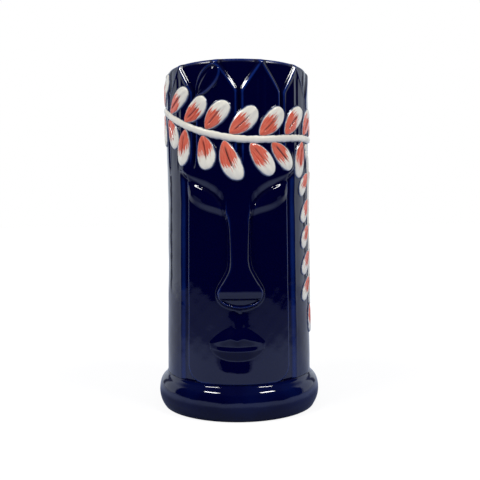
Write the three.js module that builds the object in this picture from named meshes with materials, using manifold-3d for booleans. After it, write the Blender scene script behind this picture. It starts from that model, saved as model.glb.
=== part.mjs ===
// A tall ceramic tiki mug: a hollow barrel on a rounded foot, a raised mask face on the front,
// a crown of pointed panels under the rim, and a leafy vine wreath with one hanging tail.
// Millimetres, +Z up, the face looks along -Y, the origin is the centre of the resting face.
import * as THREE from "three";
import { mergeVertices } from "three/addons/utils/BufferGeometryUtils.js";
import Module from "manifold-3d";

const wasm = await Module();
wasm.setup();

// ---- Driving dimensions ----
const HEIGHT = 165;
const RIM_RADIUS = 35.3;
const WAIST_RADIUS = 34.8;
const HEM_RADIUS = 35.9;
const FOOT_RADIUS = 39.8;
const FOOT_HEIGHT = 15;
const BORE_RADIUS = 31;
const FLOOR_Z = 7;
const GAP = 0.3; // clearance between neighbouring pieces

// Heights where the barrel's outside changes slope
const WAIST_Z = 100;
const CROWN_Z = 128;

const SEGMENTS = 72; // facets round a lathed piece
const LIP_ROUND = 2;
const FLOOR_FILLET = 5;
const BASE_RECESS = { radius: 29, depth: 1.5 };

// ---- Glazes ----
const glaze = (color, roughness) => new THREE.MeshStandardMaterial({ color, roughness, metalness: 0 });
const blueGlaze = glaze(0x0b1150, 0.06);
const whiteGlaze = glaze(0xe2dfd0, 0.2);
const coralGlaze = glaze(0xe6b3a2, 0.2);

const mug = new THREE.Group();
mug.name = "tiki_mug";

function addNode(name, geometry, material) {
  const mesh = new THREE.Mesh(geometry, material);
  mesh.name = name;
  mug.add(mesh);
}

// ---- The wall that everything sits on ----
const lerp = THREE.MathUtils.lerp;

function wallRadius(z) {
  if (z < WAIST_Z) return lerp(HEM_RADIUS, WAIST_RADIUS, Math.max(0, z - FOOT_HEIGHT) / (WAIST_Z - FOOT_HEIGHT));
  return lerp(WAIST_RADIUS, RIM_RADIUS, Math.min(1, (z - WAIST_Z) / (CROWN_Z - WAIST_Z)));
}

// Angles go round from the face (-Y) towards +X. Arc lengths are measured on the waist.
const arcOf = (degrees) => THREE.MathUtils.degToRad(degrees) * WAIST_RADIUS;

function onWall(arc, z, proud) {
  const angle = arc / WAIST_RADIUS;
  const radius = wallRadius(z) + proud;
  return [radius * Math.sin(angle), -radius * Math.cos(angle), z];
}

// ---- Geometry helpers ----
function lathe(profile) {
  const points = profile.map(([radius, z]) => new THREE.Vector2(radius, z));
  return new THREE.LatheGeometry(points, SEGMENTS).rotateX(Math.PI / 2);
}

function arcPoints(centreR, centreZ, radiusR, radiusZ, fromDeg, toDeg, steps) {
  return Array.from({ length: steps + 1 }, (_, i) => {
    const a = THREE.MathUtils.degToRad(lerp(fromDeg, toDeg, i / steps));
    return [centreR + radiusR * Math.cos(a), centreZ + radiusZ * Math.sin(a)];
  });
}

function toSolid(geometry) {
  const bare = new THREE.BufferGeometry();
  bare.setAttribute("position", geometry.getAttribute("position"));
  bare.setIndex(geometry.index);
  const merged = mergeVertices(bare, 1e-3);
  return new wasm.Manifold(
    new wasm.Mesh({
      numProp: 3,
      vertProperties: merged.attributes.position.array,
      triVerts: new Uint32Array(merged.index.array),
    }),
  );
}

function toGeometry(solid) {
  const { vertProperties, triVerts } = solid.getMesh();
  return new THREE.BufferGeometry()
    .setAttribute("position", new THREE.BufferAttribute(vertProperties, 3))
    .setIndex(new THREE.BufferAttribute(triVerts, 1));
}

// A closed relief piece that lies on the wall. It follows route(t) for t from 0 to 1, in [arc, z].
// left(t) and right(t) are its edges, measured across the route, and proud(t, v) its height over the
// wall with v from 0 at the left edge to 1 at the right. Its back lies `lift` over the wall.
function ribbon({ route, left, right, proud, steps, across, lift = GAP, closed = false }) {
  const rows = closed ? steps : steps + 1;
  const columns = across + 1;
  const positions = [];
  for (const isFront of [false, true]) {
    for (let i = 0; i < rows; i++) {
      const t = i / steps;
      const [arc, z] = route(t);
      const [dArc, dZ] = direction(route, t, closed);
      for (let j = 0; j < columns; j++) {
        const v = j / across;
        const offset = lerp(left(t), right(t), v);
        const height = isFront ? lift + proud(t, v) : lift;
        positions.push(...onWall(arc - dZ * offset, z + dArc * offset, height));
      }
    }
  }
  const at = (isFront, i, j) => (isFront * rows + (i % rows)) * columns + j;
  const faces = [];
  const quad = (a, b, c, d) => faces.push(a, b, c, a, c, d);
  for (let i = 0; i < steps; i++) {
    for (let j = 0; j < across; j++) {
      quad(at(1, i, j), at(1, i + 1, j), at(1, i + 1, j + 1), at(1, i, j + 1));
      quad(at(0, i, j), at(0, i, j + 1), at(0, i + 1, j + 1), at(0, i + 1, j));
    }
    quad(at(0, i, 0), at(0, i + 1, 0), at(1, i + 1, 0), at(1, i, 0));
    quad(at(0, i, across), at(1, i, across), at(1, i + 1, across), at(0, i + 1, across));
  }
  for (let j = 0; j < across && !closed; j++) {
    quad(at(0, 0, j), at(1, 0, j), at(1, 0, j + 1), at(0, 0, j + 1));
    quad(at(0, steps, j), at(0, steps, j + 1), at(1, steps, j + 1), at(1, steps, j));
  }
  return new THREE.BufferGeometry()
    .setAttribute("position", new THREE.Float32BufferAttribute(positions, 3))
    .setIndex(faces);
}

function direction(route, t, closed) {
  const step = 0.002;
  const before = route(closed ? t - step : Math.max(0, t - step));
  const after = route(closed ? t + step : Math.min(1, t + step));
  const length = Math.hypot(after[0] - before[0], after[1] - before[1]);
  return [(after[0] - before[0]) / length, (after[1] - before[1]) / length];
}

// A smooth route through hand-set [degrees, z] points
function routeThrough(points) {
  const curve = new THREE.CatmullRomCurve3(points.map(([degrees, z]) => new THREE.Vector3(arcOf(degrees), z, 0)));
  return (t) => {
    const p = curve.getPoint(t);
    return [p.x, p.y];
  };
}

const dome = (v) => Math.sqrt(Math.max(0, 1 - (2 * v - 1) ** 2));

// ---- Barrel and foot ----
function makeBody() {
  const lipZ = HEIGHT - LIP_ROUND;
  const wall = RIM_RADIUS - BORE_RADIUS;
  const profile = [
    [0, BASE_RECESS.depth],
    [BASE_RECESS.radius, BASE_RECESS.depth],
    [BASE_RECESS.radius + 1, 0],
    [HEM_RADIUS, 0],
    ...[FOOT_HEIGHT, WAIST_Z, CROWN_Z].map((z) => [wallRadius(z), z]),
    ...arcPoints(RIM_RADIUS - wall / 2, lipZ, wall / 2, LIP_ROUND, 0, 180, 6),
    ...arcPoints(BORE_RADIUS - FLOOR_FILLET, FLOOR_Z + FLOOR_FILLET, FLOOR_FILLET, FLOOR_FILLET, 0, -90, 4),
    [0, FLOOR_Z],
  ];
  return toGeometry(toSolid(lathe(profile)).subtract(makeNotches()));
}

// The V notches between the crown's pointed panels, cut a little way into the wall
const NOTCH = { depth: 0.8, bottomZ: 149.1, halfAngle: 14 };
const NOTCH_ANGLES = [1.5, 35.5, 69, 104, 142, 180, 218, 256, 292, 326];

function makeNotches() {
  const halfWidth = arcOf(NOTCH.halfAngle);
  const triangle = new THREE.Shape([
    new THREE.Vector2(0, NOTCH.bottomZ),
    new THREE.Vector2(halfWidth, HEIGHT + 1),
    new THREE.Vector2(-halfWidth, HEIGHT + 1),
  ]);
  const wedges = NOTCH_ANGLES.map((degrees) =>
    toSolid(
      new THREE.ExtrudeGeometry(triangle, { depth: RIM_RADIUS, bevelEnabled: false })
        .rotateX(Math.PI / 2)
        .translate(0, -BORE_RADIUS, 0)
        .rotateZ(THREE.MathUtils.degToRad(degrees)),
    ),
  );
  const floorRadius = RIM_RADIUS - NOTCH.depth;
  const core = toSolid(
    lathe([
      [0, NOTCH.bottomZ - 5],
      [floorRadius, NOTCH.bottomZ - 5],
      [floorRadius, HEIGHT + 5],
      [0, HEIGHT + 5],
    ]),
  );
  return wasm.Manifold.union(wedges).subtract(core);
}

function makeFoot() {
  const bore = HEM_RADIUS + GAP;
  const bulge = FOOT_RADIUS - HEM_RADIUS - 1;
  const middleZ = FOOT_HEIGHT / 2;
  return lathe([
    [bore, 0],
    ...arcPoints(FOOT_RADIUS - bulge, middleZ, bulge, middleZ, -90, 90, 10),
    [bore, FOOT_HEIGHT],
    [bore, 0],
  ]);
}

addNode("mug_body", makeBody(), blueGlaze);
addNode("foot_ring", makeFoot(), blueGlaze);

// ---- Vine: the wreath goes all the way round, and the tail hangs from it at the right ----
const VINE = { half: 1.5, proud: 1.4 };
const WREATH_POINTS = [
  [-90, 147],
  [-66, 142.3],
  [-42, 135.8],
  [-18, 130.8],
  [6, 128.4],
  [30, 129],
  [54, 130.4],
  [78, 131],
  [120, 134.5],
  [165, 140.5],
  [210, 146],
  [240, 148],
];
const TAIL_POINTS = [
  [66, 128],
  [71.5, 123.5],
  [76, 115],
  [78.5, 100],
  [79, 75],
  [79, 50],
];

// The wreath's height as a smooth function of the angle, the same after every full turn
function wreathZ(degrees) {
  const count = WREATH_POINTS.length;
  const first = WREATH_POINTS[0][0];
  const turned = first + THREE.MathUtils.euclideanModulo(degrees - first, 360);
  const point = (i) => {
    const turns = Math.floor(i / count);
    const [angle, z] = WREATH_POINTS[i - turns * count];
    return [angle + 360 * turns, z];
  };
  let i = 0;
  while (point(i + 1)[0] <= turned) i++;
  const [before, from, to, after] = [i - 1, i, i + 1, i + 2].map(point);
  const slope = (a, b) => (b[1] - a[1]) / (b[0] - a[0]);
  const span = to[0] - from[0];
  const t = (turned - from[0]) / span;
  const startSlope = slope(before, to) * span;
  const endSlope = slope(from, after) * span;
  const rise = to[1] - from[1];
  return from[1] + startSlope * t + (3 * rise - 2 * startSlope - endSlope) * t ** 2
    + (startSlope + endSlope - 2 * rise) * t ** 3;
}

function makeVine(route, steps, closed) {
  return ribbon({
    route,
    left: () => -VINE.half,
    right: () => VINE.half,
    proud: (t, v) => VINE.proud * (0.35 + 0.65 * dome(v)),
    steps,
    across: 2,
    closed,
  });
}

const wreathRoute = (t) => [arcOf(360 * t), wreathZ(360 * t)];
const tailRoute = routeThrough(TAIL_POINTS);
addNode("wreath_vine", makeVine(wreathRoute, 72, true), whiteGlaze);
addNode("tail_vine", makeVine(tailRoute, 16, false), whiteGlaze);

// ---- Leaves ----
const LEAF = { half: 4.4, proud: 1.5, stand: 0.5, blunt: 0.12 };

// A leaf from its base point, pointing `lean` degrees from straight up, turned towards +X
function makeLeaf(baseArc, baseZ, lean, length, widest = LEAF.half) {
  const turn = THREE.MathUtils.degToRad(lean);
  const half = (t) => widest * Math.max(LEAF.blunt, Math.sin(Math.PI * t ** 0.85) ** 0.75);
  return ribbon({
    route: (t) => [baseArc + Math.sin(turn) * length * t, baseZ + Math.cos(turn) * length * t],
    left: (t) => -half(t),
    right: half,
    proud: (t, v) => lerp(LEAF.stand, LEAF.proud, dome(v) * Math.sin(Math.PI * lerp(0.1, 0.9, t))),
    steps: 6,
    across: 2,
  });
}

// Upper and lower leaves of the wreath as [degrees round, lean, length]. A lower leaf's lean is
// measured from straight down. The front ones are set by hand and the back ones follow at a pitch.
const UPPER_LEAVES = [
  [-62.5, 56, 15.2],
  [-43.5, 49, 13.8],
  [-24, 42, 14.3],
  [-5, 45.5, 15.4],
  [18, 42.5, 16],
  [40, 45, 17],
  [62, 45, 16.5],
];
const LOWER_LEAVES = [
  [-64, 29, 15],
  [-41, -7, 15.7],
  [-25, 10, 14.6],
  [-8.5, 21.5, 18],
  [10.5, 34, 15.9],
  [27, 40.5, 14.2],
  [59, -10, 16.3],
];
const BACK_LEAVES = { count: 10, upper: [83, 272], lower: [100, 276], upperLean: 34, lowerLean: 20, length: 16 };

for (let i = 0; i < BACK_LEAVES.count; i++) {
  const share = i / (BACK_LEAVES.count - 1);
  UPPER_LEAVES.push([lerp(...BACK_LEAVES.upper, share), BACK_LEAVES.upperLean, BACK_LEAVES.length]);
  LOWER_LEAVES.push([lerp(...BACK_LEAVES.lower, share), BACK_LEAVES.lowerLean, BACK_LEAVES.length]);
}

const LEAF_OFF_VINE = VINE.half + GAP + 0.7;
const pad = (i) => String(i + 1).padStart(2, "0");

// A leaf's base lies square off the wreath, above it (side 1) or below it (side -1)
function wreathLeaf(degrees, lean, length, side) {
  const [dArc, dZ] = direction(wreathRoute, degrees / 360, true);
  const baseArc = arcOf(degrees) - side * dZ * LEAF_OFF_VINE;
  const baseZ = wreathZ(degrees) + side * dArc * LEAF_OFF_VINE;
  return makeLeaf(baseArc, baseZ, side > 0 ? lean : 180 - lean, length);
}

UPPER_LEAVES.forEach((leaf, i) => addNode(`upper_leaf_${pad(i)}`, wreathLeaf(...leaf, 1), coralGlaze));
LOWER_LEAVES.forEach((leaf, i) => addNode(`lower_leaf_${pad(i)}`, wreathLeaf(...leaf, -1), coralGlaze));

// Leaves hang down on both sides of the tail, and one closes its end
const TAIL_LEAF = { lean: 138, length: 13, half: 3.5, pairs: 5, topLeftZ: 113.5, topRightZ: 115, pitch: 12.6 };

function tailArc(z) {
  let t = 0;
  while (t < 1 && tailRoute(t)[1] > z) t += 0.01;
  return tailRoute(Math.min(1, t))[0];
}

const makeTailLeaf = (arc, z, lean) => makeLeaf(arc, z, lean, TAIL_LEAF.length, TAIL_LEAF.half);

for (const [side, topZ] of [[-1, TAIL_LEAF.topLeftZ], [1, TAIL_LEAF.topRightZ]]) {
  for (let i = 0; i < TAIL_LEAF.pairs; i++) {
    const z = topZ - i * TAIL_LEAF.pitch;
    const arc = tailArc(z) + side * LEAF_OFF_VINE;
    const name = `tail_leaf_${side < 0 ? "left" : "right"}_${pad(i)}`;
    addNode(name, makeTailLeaf(arc, z, side * TAIL_LEAF.lean), coralGlaze);
  }
}
const [tailEndArc, tailEndZ] = tailRoute(1);
addNode("tail_leaf_end", makeTailLeaf(tailEndArc, tailEndZ - GAP - 0.5, 180), coralGlaze);

// One leaf high on the crown is left in the blue glaze
addNode("crown_leaf", makeLeaf(arcOf(-30.2), 149.8, 37.5, 15.2), blueGlaze);

// ---- Mask face ----
const FACE = { halfAngle: 41, bottomZ: 16.8, topZ: 107.5, topRise: 4, proud: 1, corner: 8 };
const ON_FACE = GAP + FACE.proud + GAP;

function makeFacePanel() {
  const middleZ = 60;
  const rounding = (t) => {
    const fromEdge = arcOf(FACE.halfAngle) * (1 - Math.abs(2 * t - 1));
    const into = Math.max(0, 1 - fromEdge / FACE.corner);
    return FACE.corner * (1 - Math.sqrt(1 - into ** 2));
  };
  return ribbon({
    route: (t) => [arcOf(lerp(-FACE.halfAngle, FACE.halfAngle, t)), middleZ],
    left: (t) => FACE.bottomZ - middleZ + rounding(t),
    right: (t) => FACE.topZ + FACE.topRise * (2 * t - 1) ** 2 - middleZ,
    proud: () => FACE.proud,
    steps: 24,
    across: 4,
  });
}

// Nose stations down from the brows: [z, half width, height over the face]
const NOSE_STATIONS = [
  [97, 4.6, 0.9],
  [84, 4.7, 1.9],
  [71, 5, 2.6],
  [63, 8.6, 2.9],
  [57.5, 10, 2.8],
  [53, 8, 1.9],
  [50.5, 5, 0.6],
];

function makeNose() {
  const last = NOSE_STATIONS.length - 1;
  const station = (t, column) => {
    const i = Math.min(last - 1, Math.floor(t * last));
    return lerp(NOSE_STATIONS[i][column], NOSE_STATIONS[i + 1][column], t * last - i);
  };
  return ribbon({
    route: (t) => [0, station(t, 0)],
    left: (t) => -station(t, 1),
    right: (t) => station(t, 1),
    proud: (t, v) => station(t, 2) * (0.3 + 0.7 * Math.min(1, 1.6 * dome(v))),
    steps: last,
    across: 4,
    lift: ON_FACE,
  });
}

// A raised line of the face through [degrees, z] points, tapering to both ends
function makeRidge(points, half, proud, steps = 10) {
  const taper = (t) => Math.max(0.3, Math.sin(Math.PI * lerp(0.08, 0.92, t)) ** 0.6);
  return ribbon({
    route: routeThrough(points),
    left: (t) => -half * taper(t),
    right: (t) => half * taper(t),
    proud: (t, v) => proud * taper(t) * (0.3 + 0.7 * dome(v)),
    steps,
    across: 2,
    lift: ON_FACE,
  });
}

const mirrored = (points) => points.map(([degrees, z]) => [-degrees, z]);
const BROW_POINTS = [[-39, 109.4], [-30, 108.2], [-22, 106], [-15.5, 102.5], [-11, 98.5]];
const LID_POINTS = [[-36, 101.5], [-29, 98.3], [-21, 96], [-12.5, 94.2]];
const UPPER_LIP_POINTS = [[-20, 37.2], [-9, 39.8], [0, 39.2], [9, 39.8], [20, 37.2]];
const LOWER_LIP_POINTS = [[-17, 34.2], [-8, 32.3], [0, 31.9], [8, 32.3], [17, 34.2]];

addNode("face_panel", makeFacePanel(), blueGlaze);
addNode("nose", makeNose(), blueGlaze);
addNode("brow_left", makeRidge(BROW_POINTS, 1.4, 1.3), blueGlaze);
addNode("brow_right", makeRidge(mirrored(BROW_POINTS), 1.4, 1.3), blueGlaze);
addNode("eyelid_left", makeRidge(LID_POINTS, 1.3, 1.1), blueGlaze);
addNode("eyelid_right", makeRidge(mirrored(LID_POINTS), 1.3, 1.1), blueGlaze);
addNode("upper_lip", makeRidge(UPPER_LIP_POINTS, 2, 1.8), blueGlaze);
addNode("lower_lip", makeRidge(LOWER_LIP_POINTS, 1.9, 1.8), blueGlaze);

export default mug;
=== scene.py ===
"""The looks of a glazed ceramic tiki mug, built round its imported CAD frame.

Lengths are millimetres until a mesh is made. Angles are degrees round from the face, towards +X.
Places come from the CAD nodes. The relief is one height field over (angle, height), and every piece
lies on it: the barrel, the mask, the vine and the leaves.
"""
import math

import bpy
import numpy as np
from mathutils import Matrix, Vector


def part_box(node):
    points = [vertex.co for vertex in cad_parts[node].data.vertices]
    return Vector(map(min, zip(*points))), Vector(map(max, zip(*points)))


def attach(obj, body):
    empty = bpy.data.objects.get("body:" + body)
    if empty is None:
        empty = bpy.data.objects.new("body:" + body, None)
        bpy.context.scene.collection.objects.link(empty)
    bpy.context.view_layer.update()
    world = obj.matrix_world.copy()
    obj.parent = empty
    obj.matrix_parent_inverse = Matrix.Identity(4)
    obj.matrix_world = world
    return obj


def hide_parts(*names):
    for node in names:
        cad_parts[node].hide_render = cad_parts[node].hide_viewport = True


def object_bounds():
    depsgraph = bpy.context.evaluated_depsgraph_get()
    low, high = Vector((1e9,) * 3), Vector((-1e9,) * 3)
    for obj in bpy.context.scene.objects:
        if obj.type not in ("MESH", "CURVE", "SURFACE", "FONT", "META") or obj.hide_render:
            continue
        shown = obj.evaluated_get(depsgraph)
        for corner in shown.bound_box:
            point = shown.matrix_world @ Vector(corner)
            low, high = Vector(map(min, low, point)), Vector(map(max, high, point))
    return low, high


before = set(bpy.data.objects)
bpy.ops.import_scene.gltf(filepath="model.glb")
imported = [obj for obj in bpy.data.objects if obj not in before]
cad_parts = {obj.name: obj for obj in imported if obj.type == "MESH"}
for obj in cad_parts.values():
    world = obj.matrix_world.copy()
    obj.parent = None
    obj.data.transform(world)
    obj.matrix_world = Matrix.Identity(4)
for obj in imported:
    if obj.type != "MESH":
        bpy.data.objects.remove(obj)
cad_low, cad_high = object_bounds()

MM = 0.001


# ---- Reading the frame ----
def unrolled(node):
    """A CAD node's corners as (degrees round from the face, radius, height)."""
    corners = np.array([vertex.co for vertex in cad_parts[node].data.vertices]) / MM
    degrees = np.degrees(np.arctan2(corners[:, 0], -corners[:, 1]))
    return degrees, np.hypot(corners[:, 0], corners[:, 1]), corners[:, 2]


BODY_DEGREES, BODY_RADII, BODY_HEIGHTS = unrolled("mug_body")
RIM_Z = BODY_HEIGHTS.max()
BORE_RADIUS = BODY_RADII[BODY_HEIGHTS > RIM_Z / 2].min()
ON_AXIS = BODY_RADII < 1
FLOOR_Z = BODY_HEIGHTS[ON_AXIS].max()
RECESS_Z = BODY_HEIGHTS[ON_AXIS].min()
SEAT_RADIUS = BODY_RADII[BODY_HEIGHTS < RECESS_Z / 2].min()
_, FOOT_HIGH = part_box("foot_ring")
FOOT_TOP = FOOT_HIGH.z / MM
FOOT_RADIUS = FOOT_HIGH.x / MM

OUTSIDE = BODY_RADII > BORE_RADIUS + 3
NOTCH_Z = BODY_HEIGHTS[OUTSIDE & (BODY_HEIGHTS > 0.85 * RIM_Z)].min()
PLAIN_WALL = OUTSIDE & (BODY_HEIGHTS < NOTCH_Z - 1)
WALL_LEVELS = np.unique(BODY_HEIGHTS[PLAIN_WALL].round(1))
WALL_RADII = [BODY_RADII[PLAIN_WALL & (abs(BODY_HEIGHTS - z) < 0.1)].max() for z in WALL_LEVELS]
WAIST_RADIUS = min(WALL_RADII)
LIP = (WALL_RADII[-1] - BORE_RADIUS) / 2
LIP_Z = RIM_Z - LIP

FACE_DEGREES, _, FACE_HEIGHTS = unrolled("face_panel")
FACE_HALF = math.radians(FACE_DEGREES.max()) * WAIST_RADIUS
CHIN_Z = FACE_HEIGHTS.min()


def cluster_means(values, gap):
    """Sorts the values and gives the mean of each group that lies closer together than the gap."""
    values = np.sort(values)
    breaks = np.flatnonzero(np.diff(values) > gap) + 1
    return np.array([group.mean() for group in np.split(values, breaks)])


NOTCH_DEGREES = cluster_means(BODY_DEGREES[OUTSIDE & (abs(BODY_HEIGHTS - NOTCH_Z) < 0.05)] % 360, 5)


# ---- Small maths ----
def smoothstep(low, high, value):
    t = np.clip((value - low) / (high - low), 0, 1)
    return t * t * (3 - 2 * t)


def bump(distance, width):
    return np.exp(-((distance / width) ** 2))


def smooth_max(a, b, blend):
    """The larger of two heights, rounded off where they are within the blend of each other."""
    overlap = np.clip(0.5 + 0.5 * (a - b) / blend, 0, 1)
    return b + (a - b) * overlap + blend * overlap * (1 - overlap)


def curve_through(points):
    """A smooth function of x through given (x, y) points, level past both ends."""
    xs, ys = np.array(points, float).T
    slopes = np.gradient(ys, xs)

    def at(x):
        x = np.clip(x, xs[0], xs[-1])
        i = np.clip(np.searchsorted(xs, x) - 1, 0, len(xs) - 2)
        span = xs[i + 1] - xs[i]
        t = (x - xs[i]) / span
        rise = ys[i + 1] - ys[i]
        start, end = slopes[i] * span, slopes[i + 1] * span
        return ys[i] + start * t + (3 * rise - 2 * start - end) * t**2 + (start + end - 2 * rise) * t**3

    return at


# ---- The wall and its relief, as heights in millimetres over (degrees, z) ----
def wall_radius(z):
    return np.interp(z, WALL_LEVELS, WALL_RADII)


def arc(degrees):
    return np.radians(degrees) * WAIST_RADIUS


GROOVE_HALF = 0.75  # half width of the straight groove under each V notch
GROOVE_DEPTH = 0.85
ROLL_HEIGHT = 0.22  # the rolled edge beside a groove
PANEL_BULGE = 0.92  # below 1, the crown panels' sides bow outwards
CROWN_FADE = (112, 121)  # the crown's grooves run out between these heights
TIP_Z = RIM_Z - 0.2  # where the panels' rolled edges would meet


def crown_relief(degrees, z):
    """Pointed panels under the rim: V notches between them, rolled edges, and a vein down each panel."""
    starts = np.append(NOTCH_DEGREES[-1] - 360, NOTCH_DEGREES)
    ends = np.append(NOTCH_DEGREES, NOTCH_DEGREES[0] + 360)
    turned = degrees % 360
    i = np.clip(np.searchsorted(starts, turned, side="right") - 1, 0, len(ends) - 1)
    half_panel = arc((ends[i] - starts[i]) / 2)
    from_vein = arc(turned - (starts[i] + ends[i]) / 2)
    from_notch = half_panel - abs(from_vein)

    edge_z = NOTCH_Z + (TIP_Z - NOTCH_Z) * (from_notch / half_panel) ** PANEL_BULGE
    slant = half_panel / np.hypot(half_panel, TIP_Z - NOTCH_Z)
    in_notch = smooth_max((z - edge_z) * slant, GROOVE_HALF - from_notch, 0.5)
    into = np.clip((in_notch + 0.6) / 1.35, 0, 1)
    sunk = -GROOVE_DEPTH * (0.55 * into + 0.45 * into**2)
    rolled = ROLL_HEIGHT * bump(in_notch + 0.95, 0.8)

    vein_top = smoothstep(RIM_Z - 4, RIM_Z - 9, z)
    vein = 0.1 * bump(abs(from_vein) - 1.7, 0.6) - 0.22 * bump(from_vein, 1.1)
    low_fade = smoothstep(*CROWN_FADE, z)
    return (sunk + rolled + vein * vein_top) * low_fade


# The brow's and the eyelid's lines through (arc from the middle, height over the chin's edge). Each is the
# middle of a slope.
brow_z = curve_through([
    (5.2, 77), (5.6, 80), (6.5, 83.6), (8.7, 87.3), (12.6, 90.5), (18, 92.8), (24, 95), (28, 97), (33, 101),
])
lid_z = curve_through([(5.2, 78), (9.3, 79.4), (13.8, 80.7), (18.5, 82.5), (23, 85.3), (26, 88)])
BROW_FOOT = 76  # over this height the bridge runs into the forehead
SLOPE_HALF = 1.4  # half width of both slopes
CHEEK_LEVEL = 0.5
LID_LEVEL = 1.1  # how far the lid's lower edge stands over the cheek
EYE_DEPTH = 0.35  # how far the lid lies below the cheek under the brow
EYE_BULGE = 0.5
EYE_MIDDLE = 19.5

# The nose and forehead by height over the chin's edge: levels over the wall, and half widths
ridge_level = curve_through([
    (36, 2.6), (39.7, 3.4), (42.3, 4.4), (43.1, 4.5), (44, 4.48), (47, 4.3), (54, 3.8), (64, 3.1),
    (74, 2.5), (82, 2.0), (90, 1.7), (97, 1.5), (108, 0),
])
bridge_half = curve_through([
    (34, 2), (36.2, 4.6), (38, 7.2), (40.3, 9.2), (43, 9.4), (45, 8.9), (47, 7.9), (50.5, 6), (53.4, 4.75),
    (56, 4.35), (60, 4.3), (68, 4.45), (74, 4.8), (79, 5.4), (84, 6),
])
wing_level = curve_through([
    (34, 0.9), (36, 2.1), (39.7, 2.9), (42.3, 3.85), (43.1, 3.92), (44, 3.8), (45, 3.4), (47, 2.5),
    (50, 1.3), (53, 0.4), (57, 0),
])
nose_half = curve_through([
    (33.4, 1), (34.7, 4.6), (36.2, 7.8), (38, 9.8), (40.3, 10.8), (43, 10.8), (45, 10.1), (47, 9.1),
    (50.5, 7.3), (54, 6.3), (60, 5.5),
])
NOSE_BOTTOM = 33
NOSE_TOP = 60  # where the wings run out into the bridge
BRIDGE_STEEPNESS = 1.4  # rise over run of the bridge's sides
TIP_ROUNDING = 0.9  # how far the nose's tip falls away 10 mm to the side

# The hollow under the nose: its top edge, its level there, its slope, and its lower edge by arc
NOSTRIL_TOP = 39.6
NOSTRIL_LEVEL = 2.35
NOSTRIL_SLOPE = 0.2
nostril_low = curve_through([(0, 35.7), (4, 36.3), (7, 37.8), (9, 39.6)])

# The mouth's lines through (arc from its middle, height over the chin's edge), and its levels over the skin
mouth_top = curve_through([(0, 25.4), (3.2, 26), (6, 24.8), (10, 21.8), (12.6, 19.3)])
mouth_crest = curve_through([(0, 20.5), (2.9, 21.3), (5.6, 20.5), (9.6, 19.7), (12.6, 19.1)])
lower_lip_edge = curve_through([(0, 10.8), (5.2, 11.4), (8.6, 12.9), (11.3, 15.6), (12.4, 18)])
MOUTH_HALF = 12.6
UPPER_LIP_LEVEL = 2.3
LOWER_LIP_LEVEL = 1.7
PARTING_DEPTH = 0.7
HOLLOW_DEPTH = 0.65  # the hollow over the chin

# Nothing on the face is quite central: these are arcs to the right of the middle
BRIDGE_SHIFT = 0.5
NOSE_SHIFT = 0.8
MOUTH_SHIFT = -0.7
HOLLOW_SHIFT = -2

# The channel at each side of the face panel, and the panel's lower corners
CHANNEL_DEPTH = 1.1
CHANNEL_OUTER = 30.2
CORNER_RADIUS = 8


def slope_of(line, at, step=0.25):
    return (line(at + step) - line(at - step)) / (2 * step)


def over_line(line, across, up):
    """Distance over a line, measured square to it."""
    return (up - line(across)) / np.hypot(1, slope_of(line, across))


def slope_share(distance, half=SLOPE_HALF, rounding=0.22):
    """0 to 1 across a straight slope with rounded ends."""
    t = (distance + half) / (2 * half)
    return 1 - smooth_max(1 - smooth_max(t, 0 * t, rounding), 0 * t, rounding)


def inside_panel(across, up):
    """Distance inside the face panel, a rectangle open at the top with rounded lower corners."""
    dx = across - (FACE_HALF - CORNER_RADIUS)
    dz = CORNER_RADIUS - up
    outside_corner = np.hypot(np.maximum(dx, 0), np.maximum(dz, 0))
    return CORNER_RADIUS - outside_corner - np.minimum(np.maximum(dx, dz), 0)


def eye_relief(across, up, over_brow):
    """A lowered lid: it leans out from the crease under the brow, and rolls under at its lower edge."""
    over_lid = over_line(lid_z, across, up)
    open_height = np.maximum(brow_z(across) - lid_z(across) - 2 * SLOPE_HALF, 1)
    share = np.clip((over_lid - SLOPE_HALF) / open_height, 0, 1)
    lean = LID_LEVEL - (LID_LEVEL + EYE_DEPTH) * share**1.3
    envelope = smoothstep(4.5, 8, across) * smoothstep(27, 22, across)
    crease = -0.3 * bump(over_brow + 1.9, 0.7) * smoothstep(5, 8, across) * smoothstep(28, 22, across)
    lens = EYE_BULGE * bump(across - EYE_MIDDLE, 4.5) * smoothstep(0, 0.3, share) * smoothstep(1, 0.7, share)
    return envelope * (lean + lens) * slope_share(over_lid) + crease


def mouth_relief(arc_mm, up):
    """Two lips and the hollow over the chin, as heights at knots up the face that narrow sideways."""
    across = abs(arc_mm - MOUTH_SHIFT)
    upper = np.clip(1 - (across / MOUTH_HALF) ** 2, 0, 1)
    lower = np.clip(1 - (across / (MOUTH_HALF - 0.2)) ** 2, 0, 1) ** 0.7
    parting = PARTING_DEPTH * smoothstep(9.5, 6.5, across)
    hollow = HOLLOW_DEPTH * smoothstep(9.5, 4, abs(arc_mm - HOLLOW_SHIFT))
    edge = lower_lip_edge(across)
    crest = mouth_crest(across)
    crease = 17.4 + 0.9 * (across / 12) ** 2
    knots = [edge - 5.6, edge, crease - 1.9, crease, crest, mouth_top(across)]
    low_crest, low_inside = LOWER_LIP_LEVEL * lower, (LOWER_LIP_LEVEL - parting) * lower
    heights = [0 * upper, -hollow, low_crest, low_inside, UPPER_LIP_LEVEL * upper, 0 * upper]
    total = np.zeros_like(crest)
    for low, high, low_height, high_height in zip(knots, knots[1:], heights, heights[1:]):
        t = np.clip((up - low) / np.maximum(high - low, 0.3), 0, 1)
        t = 0.85 * t + 0.15 * smoothstep(0, 1, t)
        here = (up >= low) & (up < np.maximum(high, low))
        total = np.where(here, low_height + (high_height - low_height) * t, total)
    return total


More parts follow.
